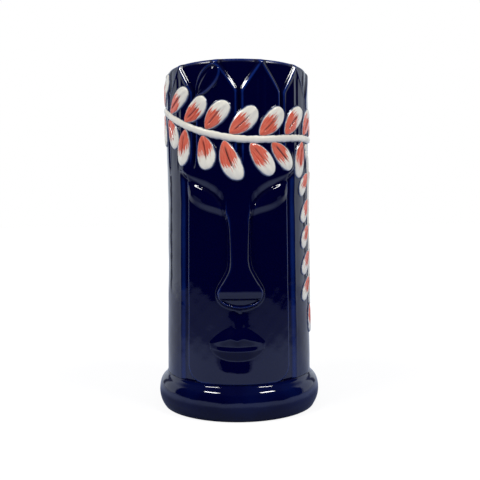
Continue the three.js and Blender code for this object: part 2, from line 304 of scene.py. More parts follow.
def philtrum_relief(across, up):
    """A groove between two ridges, on a swell that comes out towards the upper lip."""
    span = smoothstep(22, 31, up) * smoothstep(36, 33, up)
    swell = 0.085 * np.clip(35 - up, 0, 9) * smoothstep(19, 26, up) * bump(across, 2.8 + 0.11 * (35 - up))
    return swell + span * (0.25 * bump(across - 1.9, 0.8) - 0.35 * bump(across, 1.0))


def nose_share(across, up):
    """0 to 1 over the nose's wings and underside, inside an outline that is round below."""
    inside = (nose_half(up) - across) / np.hypot(1, slope_of(nose_half, up))
    return np.where((up < NOSE_TOP) & (up > NOSE_BOTTOM), slope_share(inside - 0.9, 1.0), 0)


def mask_relief(arc_mm, up, over_brow):
    """The face panel between its two channels, without the nose and forehead."""
    across = abs(arc_mm)
    panel = smoothstep(-0.4, 0.05, inside_panel(across, up))
    channel = -CHANNEL_DEPTH * smoothstep(-0.5, 3.2, CHANNEL_OUTER - across) * smoothstep(104, 97, up)
    cheek_round = -0.4 * smoothstep(10, FACE_HALF, across)
    skin = CHEEK_LEVEL + cheek_round + philtrum_relief(across, up)
    skin = skin + eye_relief(across, up, over_brow) + mouth_relief(arc_mm, up)
    return channel + (skin - channel) * panel


def ridge_share(arc_mm, up, over_brow):
    """0 to 1 over the bridge and the forehead, which meet round the inner ends of the brows."""
    shift = BRIDGE_SHIFT * smoothstep(82, 70, up) + (NOSE_SHIFT - BRIDGE_SHIFT) * smoothstep(58, 50, up)
    bridge_edge = bridge_half(up) - abs(arc_mm - shift)
    raised = np.where(up > BROW_FOOT, smooth_max(over_brow, bridge_edge, 1.0), bridge_edge)
    bridge_slope = (ridge_level(up) - CHEEK_LEVEL) / BRIDGE_STEEPNESS / 2
    slope_half = bridge_slope + (SLOPE_HALF - bridge_slope) * smoothstep(BROW_FOOT, BROW_FOOT + 8, up)
    return slope_share(raised, slope_half) * smoothstep(34.2, 36, up)


def face_relief(degrees, z):
    """Height of the mask and forehead over the wall."""
    arc_mm = arc(degrees)
    across = abs(arc_mm)
    up = z - CHIN_Z
    over_brow = over_line(brow_z, across, up)
    mask = mask_relief(arc_mm, up, over_brow)

    from_nose = abs(arc_mm - NOSE_SHIFT)
    wings = mask + np.maximum(CHEEK_LEVEL + wing_level(up) - mask, 0) * nose_share(from_nose, up)
    rounding = TIP_ROUNDING * (from_nose / 10) ** 2 * smoothstep(56, 48, up)
    top = ridge_level(up) * smoothstep(34, 26, across) - rounding
    bridge = mask + np.maximum(top - mask, 0) * ridge_share(arc_mm, up, over_brow)
    nostril = np.minimum(NOSTRIL_TOP - up, up - nostril_low(from_nose))
    level = smooth_max(bridge, wings, 0.4)
    nostril_floor = NOSTRIL_LEVEL + NOSTRIL_SLOPE * (up - NOSTRIL_TOP)
    level = level - np.maximum(level - nostril_floor, 0) * smoothstep(0, 0.6, nostril)
    on_face = smoothstep(CHANNEL_OUTER + 2, CHANNEL_OUTER - 0.5, across) * smoothstep(112, 107, up)
    return level * on_face


# The slight unevenness of a cast and glazed wall, as waves of (turns round, per mm up, phase, height)
WAVES = [
    (3, 0.021, 0.4, 0.05), (7, 0.043, 2.1, 0.03), (11, -0.034, 4.0, 0.025), (17, 0.09, 1.3, 0.014),
    (29, -0.13, 5.2, 0.008),
]


def unevenness(degrees, z):
    turn = np.radians(degrees)
    return sum(h * np.sin(n * turn + 2 * math.pi * k * z + phase) for n, k, phase, h in WAVES)


# The relief sampled once on a fine grid, which the barrel and the mask both take their rows from
FINE_COLUMNS = 864
ROW_STEP = 0.4
FINE_ROWS = int(LIP_Z / ROW_STEP) + 1
COLUMN_DEGREES = np.arange(FINE_COLUMNS) * 360 / FINE_COLUMNS - 180
ROW_HEIGHTS = np.linspace(0, LIP_Z, FINE_ROWS)
GRID_DEGREES, GRID_Z = np.meshgrid(COLUMN_DEGREES, ROW_HEIGHTS)


def relief(degrees, z):
    return crown_relief(degrees, z) + face_relief(degrees, z) + unevenness(degrees, z)


def blurred(field, radius):
    """A round blur over the wall, in millimetres. It wraps round the mug."""
    rows = np.arange(-3 * radius, 3 * radius + ROW_STEP, ROW_STEP)
    columns_mm = arc(360 / FINE_COLUMNS)
    columns = np.arange(-3 * radius, 3 * radius + columns_mm, columns_mm)
    padded = np.pad(field, ((len(rows) // 2,) * 2, (0, 0)), mode="edge")
    padded = np.pad(padded, ((0, 0), (len(columns) // 2,) * 2), mode="wrap")
    out = padded
    for axis, offsets in enumerate((rows, columns)):
        weights = bump(offsets, radius)
        out = np.apply_along_axis(np.convolve, axis, out, weights / weights.sum(), "same")
    return out[len(rows) // 2 : -(len(rows) // 2), len(columns) // 2 : -(len(columns) // 2)]


RELIEF = relief(GRID_DEGREES, GRID_Z)

# How convex the wall is, from -1 in a crease to 1 on an edge, where the glaze thins. An edge counts as full
# at a lower height on the crown than on the face, and at the greatest round the nose and mouth. The glaze
# also lies thin on the channels' outer sides.
MOST_CONVEX = 0.88
GRID_ACROSS = abs(arc(GRID_DEGREES))
CHANNEL_SIDE = bump(GRID_ACROSS - CHANNEL_OUTER + 1.6, 1.5) * smoothstep(102, 92, GRID_Z - CHIN_Z)
NOSE_AND_MOUTH = smoothstep(14, 11.5, GRID_ACROSS) * smoothstep(76, 70, GRID_Z - CHIN_Z)
FULL_CONVEX = 0.55 + 0.3 * NOSE_AND_MOUTH - 0.27 * smoothstep(112, 122, GRID_Z)
CONVEX = np.clip((RELIEF - blurred(RELIEF, 1.2)) / FULL_CONVEX + 0.72 * CHANNEL_SIDE, -1, MOST_CONVEX)

SUPPORT = np.maximum(blurred(RELIEF, 2.5), blurred(RELIEF, 0.8) - 0.25)  # what the leaves and vine lie on
OUTER = wall_radius(GRID_Z) + RELIEF


def outer_normals():
    """Exact normals of the outer wall on the fine grid, so that the barrel and the mask shade as one."""
    turn = np.radians(GRID_DEGREES)
    step = 2 * math.pi / FINE_COLUMNS
    slope_round = (np.roll(OUTER, -1, 1) - np.roll(OUTER, 1, 1)) / (2 * step * OUTER)
    slope_up = np.gradient(OUTER, ROW_HEIGHTS[1], axis=0)
    to_right = np.sin(turn) - slope_round * np.cos(turn)
    to_back = -np.cos(turn) - slope_round * np.sin(turn)
    normal = np.stack([to_right, to_back, -slope_up], -1)
    return normal / np.linalg.norm(normal, axis=-1, keepdims=True)


NORMALS = outer_normals()


def sampled(field, degrees, z):
    """Bilinear sample of a fine grid field at any place on the wall."""
    column = (degrees + 180) % 360 / 360 * FINE_COLUMNS
    row = np.clip(z / ROW_HEIGHTS[1], 0, FINE_ROWS - 1.001)
    c0, r0 = np.floor(column).astype(int) % FINE_COLUMNS, np.floor(row).astype(int)
    c1 = (c0 + 1) % FINE_COLUMNS
    u, v = column - np.floor(column), row - r0
    low = field[r0, c0] * (1 - u) + field[r0, c1] * u
    high = field[r0 + 1, c0] * (1 - u) + field[r0 + 1, c1] * u
    return low * (1 - v) + high * v


def placed(degrees, radius, z):
    turn = np.radians(degrees)
    return np.stack([radius * np.sin(turn), -radius * np.cos(turn), z + 0 * turn], -1)


# ---- Meshes ----
def new_object(name, data):
    thing = bpy.data.objects.new(name, data)
    bpy.context.scene.collection.objects.link(thing)
    return thing


def make_piece(name, points, faces, material, slot, nodes, normals=None, **attributes):
    """A smooth mesh object on the root body that stands for CAD nodes. Attributes are one value a vertex."""
    mesh = bpy.data.meshes.new(name)
    mesh.from_pydata((np.asarray(points) * MM).tolist(), [], [tuple(map(int, f)) for f in faces])
    mesh.validate()
    mesh.shade_smooth()
    for key, values in attributes.items():
        values = np.asarray(values, float)
        kind, field = ("FLOAT_VECTOR", "vector") if values.ndim == 2 else ("FLOAT", "value")
        mesh.attributes.new(key, kind, "POINT").data.foreach_set(field, values.ravel())
    if normals is not None:
        mesh.normals_split_custom_set_from_vertices(np.asarray(normals).tolist())
    mesh.materials.append(material)
    piece = new_object(name, mesh)
    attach(piece, "root")
    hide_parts(*nodes)
    return piece


def quads(index, closed=False):
    """Quads over a grid of point numbers. A closed grid joins its last column to its first."""
    ahead = np.roll(index, -1, axis=1)
    faces = np.stack([index[:-1], ahead[:-1], ahead[1:], index[1:]], -1)
    return (faces if closed else faces[:, :-1]).reshape(-1, 4).tolist()


def fan(centre, ring, upward):
    """Triangles from one point to a closed ring of points."""
    pairs = zip(ring, np.roll(ring, -1))
    return [(centre, a, b) if upward else (centre, b, a) for a, b in pairs]


# The mask takes this window out of the barrel, in fine grid rows and columns
MASK_HALF_COLUMNS = 126
MASK_LEFT = FINE_COLUMNS // 2 - MASK_HALF_COLUMNS
MASK_RIGHT = FINE_COLUMNS // 2 + MASK_HALF_COLUMNS
MASK_BOTTOM = 34
MASK_ROWS = 260
MASK_TOP = MASK_BOTTOM + MASK_ROWS
MASK_THICK = 1.7
MASK_BED = 2.1  # how deep the barrel is let in behind the mask

PLAIN_STEP = 8  # under the crown the barrel takes every eighth fine row
RIM_MATT = 0.42  # the glaze is thin and a little matt on the rim
CUP_FILLET = 6
# The underside's rings from the middle out, as (radius, height, how bare of glaze)
UNDERSIDE = [
    (6, RECESS_Z, 0), (16, RECESS_Z, 0), (25, RECESS_Z, 0), (SEAT_RADIUS - 2, RECESS_Z, 0),
    (SEAT_RADIUS - 1, RECESS_Z * 0.8, 0),
    (SEAT_RADIUS - 0.3, RECESS_Z * 0.25, 0.6),
    (SEAT_RADIUS + 0.3, 0, 1),
    (WALL_RADII[0] - 0.4, 0, 1),
]


def barrel_rows():
    """The barrel's rows on the fine grid: few on the plain wall, and every one on the crown."""
    low = list(range(0, MASK_BOTTOM, PLAIN_STEP)) + [MASK_BOTTOM, MASK_BOTTOM + 1]
    middle = list(range(MASK_BOTTOM + 1 + PLAIN_STEP, MASK_TOP - 1, PLAIN_STEP)) + [MASK_TOP - 1]
    return np.array(low + middle + list(range(MASK_TOP, FINE_ROWS)))


def make_barrel(material):
    """The cup, from its underside up the wall, over the lip and down to the middle of its floor."""
    rows, columns = barrel_rows(), np.arange(0, FINE_COLUMNS, 2)
    window = np.ix_(rows, columns)
    degrees, z = COLUMN_DEGREES[columns], ROW_HEIGHTS[rows]
    outer, convex, normals = OUTER[window].copy(), CONVEX[window], NORMALS[window].copy()
    behind_rows = (rows > MASK_BOTTOM) & (rows < MASK_TOP)
    behind_columns = (columns > MASK_LEFT) & (columns < MASK_RIGHT)
    behind = behind_rows[:, None] & behind_columns[None, :]
    outer[behind] -= MASK_BED
    normals[behind] = 0

    count = len(columns)
    rings, attributes, ring_normals = [], [], []

    def add_ring(radius, height, convexity=0.0, bare=0.0, normal=None):
        rings.append(placed(degrees, radius + 0 * degrees, height))
        attributes.append(np.column_stack([convexity + 0 * degrees, bare + 0 * degrees]))
        ring_normals.append(np.zeros((count, 3)) if normal is None else normal)

    for radius, height, bare in UNDERSIDE:
        add_ring(radius, height, bare=bare)
    for i in range(len(rows)):
        is_base = z[i] < 1
        add_ring(outer[i], z[i] + (0.3 if is_base else 0), convex[i], 0, None if is_base else normals[i])
    for turn in np.radians(np.linspace(0, 180, 13)[1:]):
        share = ((1 + math.cos(turn)) / 2) ** 2
        radius = WALL_RADII[-1] - LIP + LIP * math.cos(turn) + RELIEF[-1, columns] * share
        thin = 1.1 * math.sin(turn) + convex[-1] * share
        add_ring(radius, LIP_Z + LIP * math.sin(turn), thin, RIM_MATT * math.sin(turn) ** 0.5)
    for height in np.linspace(LIP_Z, FLOOR_Z + CUP_FILLET, 26)[1:]:
        add_ring(BORE_RADIUS + 0.6 * unevenness(degrees, height), height, -0.1)
    for turn in np.radians(np.linspace(0, 90, 8)[1:]):
        radius = BORE_RADIUS - CUP_FILLET * (1 - math.cos(turn))
        add_ring(radius, FLOOR_Z + CUP_FILLET * (1 - math.sin(turn)), -0.5)
    for radius in (18, 10, 4):
        add_ring(radius, FLOOR_Z, -0.3)

    total = len(rings)
    points = np.vstack(rings + [[[0, 0, RECESS_Z], [0, 0, FLOOR_Z]]])
    values = np.vstack(attributes + [[[0, 0], [-0.3, 0]]])
    all_normals = np.vstack(ring_normals + [np.zeros((2, 3))])
    index = np.arange(total * count).reshape(total, count)
    faces = quads(index, closed=True)
    faces += fan(total * count, index[0], upward=False)
    faces += fan(total * count + 1, index[-1], upward=True)
    return make_piece(
        "mug_barrel", points, faces, material, "blue_glaze", ["mug_body"], all_normals,
        convex=values[:, 0], bare=values[:, 1],
    )


BACK_STEP = 4  # the mask's back has one point for every four of the front's


def stitched(fine, coarse, flip):
    """Triangles of a strip between a fine run of points and a coarse one, BACK_STEP fine steps to each."""
    faces = []
    for k in range(len(coarse) - 1):
        for i in range(BACK_STEP):
            faces.append((coarse[k], fine[k * BACK_STEP + i], fine[k * BACK_STEP + i + 1]))
        faces.append((coarse[k], fine[(k + 1) * BACK_STEP], coarse[k + 1]))
    return [f[::-1] for f in faces] if flip else faces


def make_mask(material):
    """The face as a shell of its own on the fine grid, bedded in the barrel."""
    rows = np.arange(MASK_BOTTOM, MASK_TOP + 1)
    columns = np.arange(MASK_LEFT, MASK_RIGHT + 1)
    window = np.ix_(rows, columns)
    front = placed(GRID_DEGREES[window], OUTER[window], GRID_Z[window]).reshape(-1, 3)
    back_window = np.ix_(rows[::BACK_STEP], columns[::BACK_STEP])
    back_radius = wall_radius(GRID_Z[back_window]) - MASK_THICK
    back = placed(GRID_DEGREES[back_window], back_radius, GRID_Z[back_window]).reshape(-1, 3)
    tall, wide = len(rows), len(columns)
    back_tall, back_wide = back_window[0].size, back_window[1].size
    front_index = np.arange(tall * wide).reshape(tall, wide)
    back_index = tall * wide + np.arange(back_tall * back_wide).reshape(back_tall, back_wide)
    faces = quads(front_index) + [f[::-1] for f in quads(back_index)]
    faces += stitched(front_index[0], back_index[0], flip=True)
    faces += stitched(front_index[-1], back_index[-1], flip=False)
    faces += stitched(front_index[:, 0], back_index[:, 0], flip=False)
    faces += stitched(front_index[:, -1], back_index[:, -1], flip=True)
    normals = np.vstack([NORMALS[window].reshape(-1, 3), np.zeros((len(back), 3))])
    convex = np.append(CONVEX[window].ravel(), np.zeros(len(back)))
    nodes = ["face_panel", "nose", "upper_lip", "lower_lip"]
    nodes += [f"{feature}_{side}" for feature in ("brow", "eyelid") for side in ("left", "right")]
    return make_piece(
        "face_mask", np.vstack([front, back]), faces, material, "blue_glaze", nodes, normals,
        convex=convex, bare=0 * convex,
    )


# The foot's outside from the ground up, as (how far in from the CAD foot's widest, height as a share of its
# height)
FOOT_PROFILE = [
    (2.1, 0.01), (1.6, 0.06), (1.0, 0.13), (0.55, 0.2), (0.2, 0.27), (-0.05, 0.33), (-0.2, 0.4),
    (-0.3, 0.48), (-0.25, 0.56), (-0.1, 0.65), (0.22, 0.75), (0.62, 0.83), (1.2, 0.9), (1.9, 0.955),
    (2.65, 1.0), (3.25, 1.045), (3.65, 1.105),
]
FOOT_COLUMNS = 360
FOOT_RINGS = 70
FOOT_PAINTED_BOUNCE_LIGHT = 0.35  # how much lighter blue the foot's outside is painted, as painted bounce light from the floor
WIPED_BELOW = 0.35  # the glaze is wiped off under this height


def make_foot(material):
    """The rounded foot ring. It stands on a bare clay edge, and its top runs into the wall in a cove."""
    degrees = np.arange(FOOT_COLUMNS) * 360 / FOOT_COLUMNS
    inside = WALL_RADII[0] + 0.05
    outside = np.array(FOOT_PROFILE) * [-1, FOOT_TOP] + [FOOT_RADIUS, 0]
    along = np.append(0, np.cumsum(np.hypot(*np.diff(outside, axis=0).T)))
    fine = np.linspace(0, along[-1], FOOT_RINGS)
    radii = curve_through(np.column_stack([along, outside[:, 0]]))(fine)
    heights = curve_through(np.column_stack([along, outside[:, 1]]))(fine)
    # each ring as (radius, height, convexity, how bare of glaze); on the foot's outside the convexity is a
    # painted lighter blue for bounced light
    profile = [(inside, 0.4, 0, 1), (inside + 0.5, 0, 0, 1), (radii[0] - 0.5, 0, 0, 1)]
    # the outside rings are painted lighter blue: painted bounce light
    profile += [(r, z, FOOT_PAINTED_BOUNCE_LIGHT, 1.0 if z < WIPED_BELOW else 0.0) for r, z in zip(radii, heights)]
    profile += [(inside - 0.1, FOOT_TOP * 1.14, -0.4, 0), (inside - 0.5, FOOT_TOP - 4, -0.5, 0)]
    rings = []
    for radius, height, _, _ in profile:
        is_outside = radius > inside + 0.2 and height > 0.5
        wobble = unevenness(degrees, height) if is_outside else 0 * degrees
        rings.append(placed(degrees, radius + wobble, height))
    index = np.arange(len(profile) * FOOT_COLUMNS).reshape(-1, FOOT_COLUMNS)
    faces = quads(np.vstack([index, index[:1]]), closed=True)
    convex = np.repeat([p[2] for p in profile], FOOT_COLUMNS)
    bare = np.repeat([p[3] for p in profile], FOOT_COLUMNS)
    return make_piece(
        "foot", np.vstack(rings), faces, material, "blue_glaze", ["foot_ring"], convex=convex, bare=bare
    )


# ---- Vine ----
VINE_EDGE = 1.3  # the vine's edge, in vine half widths; past 1 is the glaze fillet
VINE_SECTION = np.linspace(-VINE_EDGE, VINE_EDGE, 15)
VINE_HALF = 1.5
WREATH_STEPS, WREATH_POINTS = 72, 540  # steps of the CAD vine, and points along this one
TAIL_STEPS, TAIL_POINTS = 17, 140
WREATH_WAVES = 12  # how many waves round the mug the wreath's smooth line is made of
UNDER = 1.3  # how deep the undersides of the vine and the leaves lie in the wall


def laid(flat):
    """Angles of (arc, height) points, and the radius there of what the vine and the leaves lie on."""
    degrees = np.degrees(flat[..., 0] / WAIST_RADIUS)
    return degrees, wall_radius(flat[..., 1]) + sampled(SUPPORT, degrees, flat[..., 1])


def make_vine(name, centre, proud, closed, material, node):
    """A rounded stem that lies on the wall along a run of (arc, z) points."""
    if closed:
        along = np.roll(centre, -1, 0) - np.roll(centre, 1, 0)
        along[:, 0] = (along[:, 0] + arc(180)) % arc(360) - arc(180)
    else:
        along = np.gradient(centre, axis=0)
    along /= np.linalg.norm(along, axis=1, keepdims=True)
    square = np.column_stack([-along[:, 1], along[:, 0]])
    steps = np.arange(len(centre))
    swell = 1 + 0.05 * np.sin(steps * 0.37) + 0.04 * np.sin(steps * 0.91 + 1)
    end_fade = np.ones(len(centre)) if closed else np.clip(np.minimum(steps, steps[::-1]) / 3 + 0.35, 0, 1)
    width = VINE_HALF * swell * end_fade
    flat = centre[:, None, :] + square[:, None, :] * (width[:, None] * VINE_SECTION[None, :])[..., None]
    degrees, radius = laid(flat)
    across = abs(VINE_SECTION)[None, :] + 0 * width[:, None]
    section = np.sqrt(np.clip(1 - 0.55 * across**2, 0, 1)) * smoothstep(VINE_EDGE, 0.75, across)
    top = placed(degrees, radius + (proud * section - 0.06), flat[..., 1])
    under = placed(degrees, radius - UNDER, flat[..., 1])
    count, across_count = degrees.shape
    loop = np.concatenate([top, under[:, ::-1]], axis=1)
    ring = 2 * across_count
    points = loop.reshape(-1, 3)
    faces = []
    for i in range(count if closed else count - 1):
        a, b = i * ring, (i + 1) % count * ring
        faces += [(a + j, b + j, b + (j + 1) % ring, a + (j + 1) % ring) for j in range(ring)]
    if not closed:
        faces += [tuple(range(ring)), tuple(range((count - 1) * ring, count * ring))[::-1]]
    rim = np.concatenate([across, np.full_like(across, VINE_EDGE)], axis=1).ravel()
    place = np.concatenate([flat, flat[:, ::-1]], axis=1).reshape(-1, 2)
    place = np.pad(place, ((0, 0), (0, 1)))
    return make_piece(name, points, faces, material, "white_glaze", [node], rim=rim, place=place)


def wreath_centre():
    """The wreath's centre line as a smooth closed curve, from the CAD vine's corners."""
    degrees, _, z = unrolled("wreath_vine")
    step = np.round(degrees / (360 / WREATH_STEPS)).astype(int) % WREATH_STEPS
    heights = np.array([z[step == k].mean() for k in range(WREATH_STEPS)])
    waves = np.fft.rfft(heights)[:WREATH_WAVES] / WREATH_STEPS
    turn = np.linspace(0, 2 * math.pi, WREATH_POINTS, endpoint=False)
    z = waves[0].real + sum(2 * (w * np.exp(1j * k * turn)).real for k, w in enumerate(waves) if k)
    return np.column_stack([turn * WAIST_RADIUS, z])


def tail_centre():
    """The tail's centre line from its top down, from the CAD vine's corners."""
    degrees, _, z = unrolled("tail_vine")
    corners = np.unique(np.column_stack([arc(degrees), z]).round(2), axis=0)
    corners = corners[np.argsort(-corners[:, 1])]
    knots = np.array([group.mean(0) for group in np.array_split(corners, TAIL_STEPS)])
    fine = np.linspace(knots[-1, 1], knots[0, 1], TAIL_POINTS)[::-1]
    across = curve_through(np.column_stack([knots[::-1, 1], knots[::-1, 0]]))
    return np.column_stack([across(fine), fine])


# ---- Leaves ----
# A leaf's rings, from its spine (0) over its edge (1) to where its glaze ends on the wall
LEAF_RINGS = np.array(
    [0, 0.035, 0.07, 0.12, 0.2, 0.32, 0.46, 0.6, 0.72, 0.8, 0.87, 0.93, 0.98, 1.03, 1.09, 1.16]
)
LEAF_POINTS = 72
LEAF_EDGE = LEAF_RINGS[-1]
LEAF_PROUD = 1.1
SLIT_DEPTH = 0.45
LEAF_TUCK = 1.1  # how much further a leaf's base reaches under the vine than in the CAD
LEAF_REACH = 0.4  # how much further its tip reaches
LEAF_SPREAD = 1.04  # and how much wider it is, for the glaze


def leaf_axis(node, base_is_low):
    """Base, tip and half width of a CAD leaf, on the unrolled wall."""
    degrees, _, z = unrolled(node)
    degrees = degrees[0] + (degrees - degrees[0] + 180) % 360 - 180
    corners = np.column_stack([arc(degrees), z])
    middle = corners.mean(0)
    _, directions = np.linalg.eigh(np.cov((corners - middle).T))
    along = directions[:, 1]
    if (along[1] > 0) != base_is_low:
        along = -along
    reach = (corners - middle) @ along
    half = abs((corners - middle) @ directions[:, 0]).max()
    return middle + along * reach.min(), middle + along * reach.max(), half


def leaf_half(t):
    """Half width along a leaf from base (0) to tip (1), at most 1: tapered at the base, round at the tip."""
    rise, fall = 0.66, 0.47
    widest = rise / (rise + fall)
    return t**rise * (1 - t) ** fall / (widest**rise * (1 - widest) ** fall)


def leaf_section(ring, dished):
    """Height across a leaf, from 1 over its spine (ring 0) to 0 where its glaze runs out."""
    if dished:
        body = 0.55 + 0.45 * bump(ring - 0.8, 0.15) - 0.2 * bump(ring - 0.52, 0.15) + 0.35 * bump(ring, 0.35)
    else:
        body = 1 - 0.42 * ring**2
    return body * (1 - smoothstep(0.8, LEAF_EDGE, ring))


def leaf_faces(turns_left):
    """A leaf's faces, ring by ring, with its underside. The innermost ring folds onto the spine."""
    rings = len(LEAF_RINGS)
    index = np.arange((rings + 1) * LEAF_POINTS).reshape(rings + 1, LEAF_POINTS)
    mirror = (LEAF_POINTS - np.arange(LEAF_POINTS)) % LEAF_POINTS
    index[0] = np.minimum(index[0], index[0][mirror])
    faces = quads(index, closed=True)
    bottom = index[rings]
    for j in range(LEAF_POINTS // 2):
        faces.append((bottom[j], bottom[j + 1], bottom[mirror[j + 1]], bottom[mirror[j]]))
    faces = [list(dict.fromkeys(f)) for f in faces]
    return [f[::-1] if turns_left else f for f in faces if len(f) > 2]


def make_leaf(name, base, tip, half, material, slot, node, draw, dished=False):
    """A domed leaf with a slit along it, or a dished one, that lies on the wall from base to tip."""
    along = tip - base
    length = np.linalg.norm(along)
    along = along / length
    square = np.array([-along[1], along[0]])
    square *= -1 if square[0] > 0 else 1
    turn = np.linspace(0, 2 * math.pi, LEAF_POINTS, endpoint=False)
    t = (1 - np.cos(turn)) / 2
    edge_across = np.sign(np.sin(turn)) * leaf_half(t) * half
    bend = draw.uniform(-0.05, 0.05) * length
    spine_t = 0.14 + 0.7 * t
    ring = LEAF_RINGS[:, None]
    share = spine_t + (t - spine_t) * ring
    across = edge_across * ring
    flat = base + (share * length)[..., None] * along
    flat = flat + (across + bend * 4 * share * (1 - share))[..., None] * square

    slit_window = smoothstep(0.12, 0.25, share) * smoothstep(0.78, 0.6, share)
    cut = bump(across, 0.33) * slit_window
    ripple = 0.07 * np.sin(across * 2.1 + draw.uniform(0, 6)) * (1 - smoothstep(0.7, 1, ring))
    height = LEAF_PROUD * leaf_section(ring, dished) - SLIT_DEPTH * (not dished) * cut + ripple - 0.05

    degrees, wall = laid(flat)
    top = placed(degrees, wall + height, flat[..., 1])
    under = placed(degrees[-1], wall[-1] - UNDER, flat[-1, :, 1])
    points = np.vstack([top.reshape(-1, 3), under])
    faces = leaf_faces(turns_left=np.cross(np.append(along, 0), np.append(square, 0))[2] > 0)

    seed = draw.uniform(0, 90)
    stroke = np.stack([share * length, across, seed + 0 * share], -1).reshape(-1, 3)
    stroke = np.vstack([stroke, stroke[-LEAF_POINTS:]])
    rim = np.append((ring + 0 * share).ravel(), np.full(LEAF_POINTS, LEAF_EDGE))
    vein = np.append((cut * draw.uniform(0.35, 1)).ravel(), np.zeros(LEAF_POINTS))
    attributes = {
        "stroke": stroke,
        "share": np.append(share.ravel(), share[-1]),
        "side": np.append((across / half).ravel(), across[-1] / half),
        "rim": rim,
        "vein": vein,
        "convex": 0.8 * bump(rim - 0.9, 0.15) - 0.5 * vein,
        "bare": 0 * rim,
    }
    used = np.unique([v for f in faces for v in f])
    faces = [np.searchsorted(used, f) for f in faces]
    kept = {key: values[used] for key, values in attributes.items()}
    return make_piece(name, points[used], faces, material, slot, [node], **kept)


# ---- Materials ----
MIX_A, MIX_B, MIX_RESULT = 6, 7, 2  # the colour sockets of a Mix node


class Nodes:
    """Short calls for building a node tree."""

    def __init__(self, tree):
        self.tree = tree

    def node(self, kind, **inputs):
        node = self.tree.nodes.new(kind)
        for key, value in inputs.items():
            self.feed(node.inputs[key.replace("_", " ")], value)
        return node

    def feed(self, socket, value):
        if isinstance(value, bpy.types.NodeSocket):
            self.tree.links.new(value, socket)
        else:
            socket.default_value = value

    def attribute(self, name, output="Fac"):
        node = self.tree.nodes.new("ShaderNodeAttribute")
        node.attribute_name = name
        return node.outputs[output]

    def fed(self, kind, *values):
        """A node whose first sockets get these values in turn."""
        node = self.tree.nodes.new(kind)
        for socket, value in zip(node.inputs, values):
            self.feed(socket, value)
        return node

    def maths(self, operation, *values):
        node = self.fed("ShaderNodeMath", *values)
        node.operation = operation
        return node.outputs[0]

    def plus(self, a, b):
        return self.maths("ADD", a, b)

    def minus(self, a, b):
        return self.maths("SUBTRACT", a, b)

    def times(self, a, b):
        return self.maths("MULTIPLY", a, b)

    def centred(self, value, size):
        """A 0 to 1 value moved to lie about zero, this far from end to end."""
        return self.times(self.minus(value, 0.5), size)

    def step(self, low, high, value):
        """Smooth 0 to 1 as the value goes from low to high."""
        node = self.node("ShaderNodeMapRange", Value=value, From_Min=low, From_Max=high)
        node.interpolation_type = "SMOOTHSTEP"
        return node.outputs["Result"]

    def mix(self, factor, a, b):
        """A mix of two colours."""
        node = self.fed("ShaderNodeMix", factor)
        node.data_type = "RGBA"
        self.feed(node.inputs[MIX_A], a)
        self.feed(node.inputs[MIX_B], b)
        return node.outputs[MIX_RESULT]

    def mix_surfaces(self, factor, a, b):
        return self.fed("ShaderNodeMixShader", factor, a, b).outputs[0]

    def vector(self, operation, *values):
        node = self.fed("ShaderNodeVectorMath", *values)
        node.operation = operation
        return node.outputs["Value" if operation == "LENGTH" else "Vector"]

    def part(self, vector, axis):
        """One of a vector's three numbers."""
        return self.fed("ShaderNodeSeparateXYZ", vector).outputs[axis]

    def noise(self, vector, scale, detail=2.0, roughness=0.5):
        inputs = {"Vector": vector, "Scale": scale, "Detail": detail, "Roughness": roughness}
        return self.node("ShaderNodeTexNoise", **inputs).outputs["Fac"]

    def position(self):
        return self.tree.nodes.new("ShaderNodeNewGeometry").outputs["Position"]

    def ray_is(self, kind):
        return self.tree.nodes.new("ShaderNodeLightPath").outputs[f"Is {kind} Ray"]


class Shader(Nodes):
    """A new material with its node tree."""

    def __init__(self, name):
        self.material = bpy.data.materials.new(name)
        self.material.use_nodes = True
        super().__init__(self.material.node_tree)
        self.surface = self.tree.nodes["Principled BSDF"]


DEEP_BLUE = (0.0002, 0.0003, 0.0195, 1)
POOLED_BLUE = (0.0001, 0.0002, 0.008, 1)
THIN_BLUE = (0.006, 0.024, 0.16, 1)
SLATE_EDGE = (0.05, 0.075, 0.16, 1)
BARE_CLAY = (0.62, 0.55, 0.46, 1)
BARE_CLAY_SHADE = (0.496, 0.44, 0.368, 1)
IVORY = (0.80, 0.77, 0.65, 1)
IVORY_SHADE = (0.71, 0.67, 0.57, 1)
CORAL = (0.66, 0.11, 0.062, 1)
CORAL_DEEP = (0.55, 0.06, 0.036, 1)
CORAL_THIN = (0.70, 0.19, 0.12, 1)
VEIN_BROWN = (0.045, 0.012, 0.014, 1)
GLAZE_INDEX = 1.5
BLUE_ROUGHNESS, LEAF_ROUGHNESS, VINE_ROUGHNESS = 0.02, 0.14, 0.2
BARE_MATT = 0.8  # how much rougher bare clay is
PEEL_HEIGHT = 0.00003  # metres
PAINT_REACH = 0.66  # how far along a leaf the coral goes


def blue_colour(shader, convex):
    """Deep cobalt that thins to a lighter blue on edges, darkens in creases, and varies a little."""
    cloud = shader.noise(shader.position(), 45, 3)
    varied = shader.plus(convex, shader.centred(cloud, 0.5))
    thin = shader.mix(shader.step(0.2, 1.2, varied), DEEP_BLUE, THIN_BLUE)
    return shader.mix(shader.step(-0.15, -1.0, varied), thin, POOLED_BLUE)


def glazed(shader, colour, roughness, matt=0.0):
    """The finished glassy glaze: faint orange peel, a slow swell, and a little unevenness in its gloss."""
    shader.feed(shader.surface.inputs["Base Color"], colour)
    shader.surface.inputs["IOR"].default_value = GLAZE_INDEX
    place = shader.position()
    peel = shader.noise(place, 420, 2)
    swell = shader.noise(place, 60, 1)
    height = shader.plus(peel, shader.times(swell, 1.2))
    skin = shader.node("ShaderNodeBump", Strength=1.0, Distance=PEEL_HEIGHT, Height=height)
    shader.feed(shader.surface.inputs["Normal"], skin.outputs["Normal"])
    uneven = shader.times(shader.noise(place, 90, 2), 0.05)
    gloss = shader.plus(uneven, roughness)
    shader.feed(shader.surface.inputs["Roughness"], shader.plus(gloss, matt))
    return shader.material


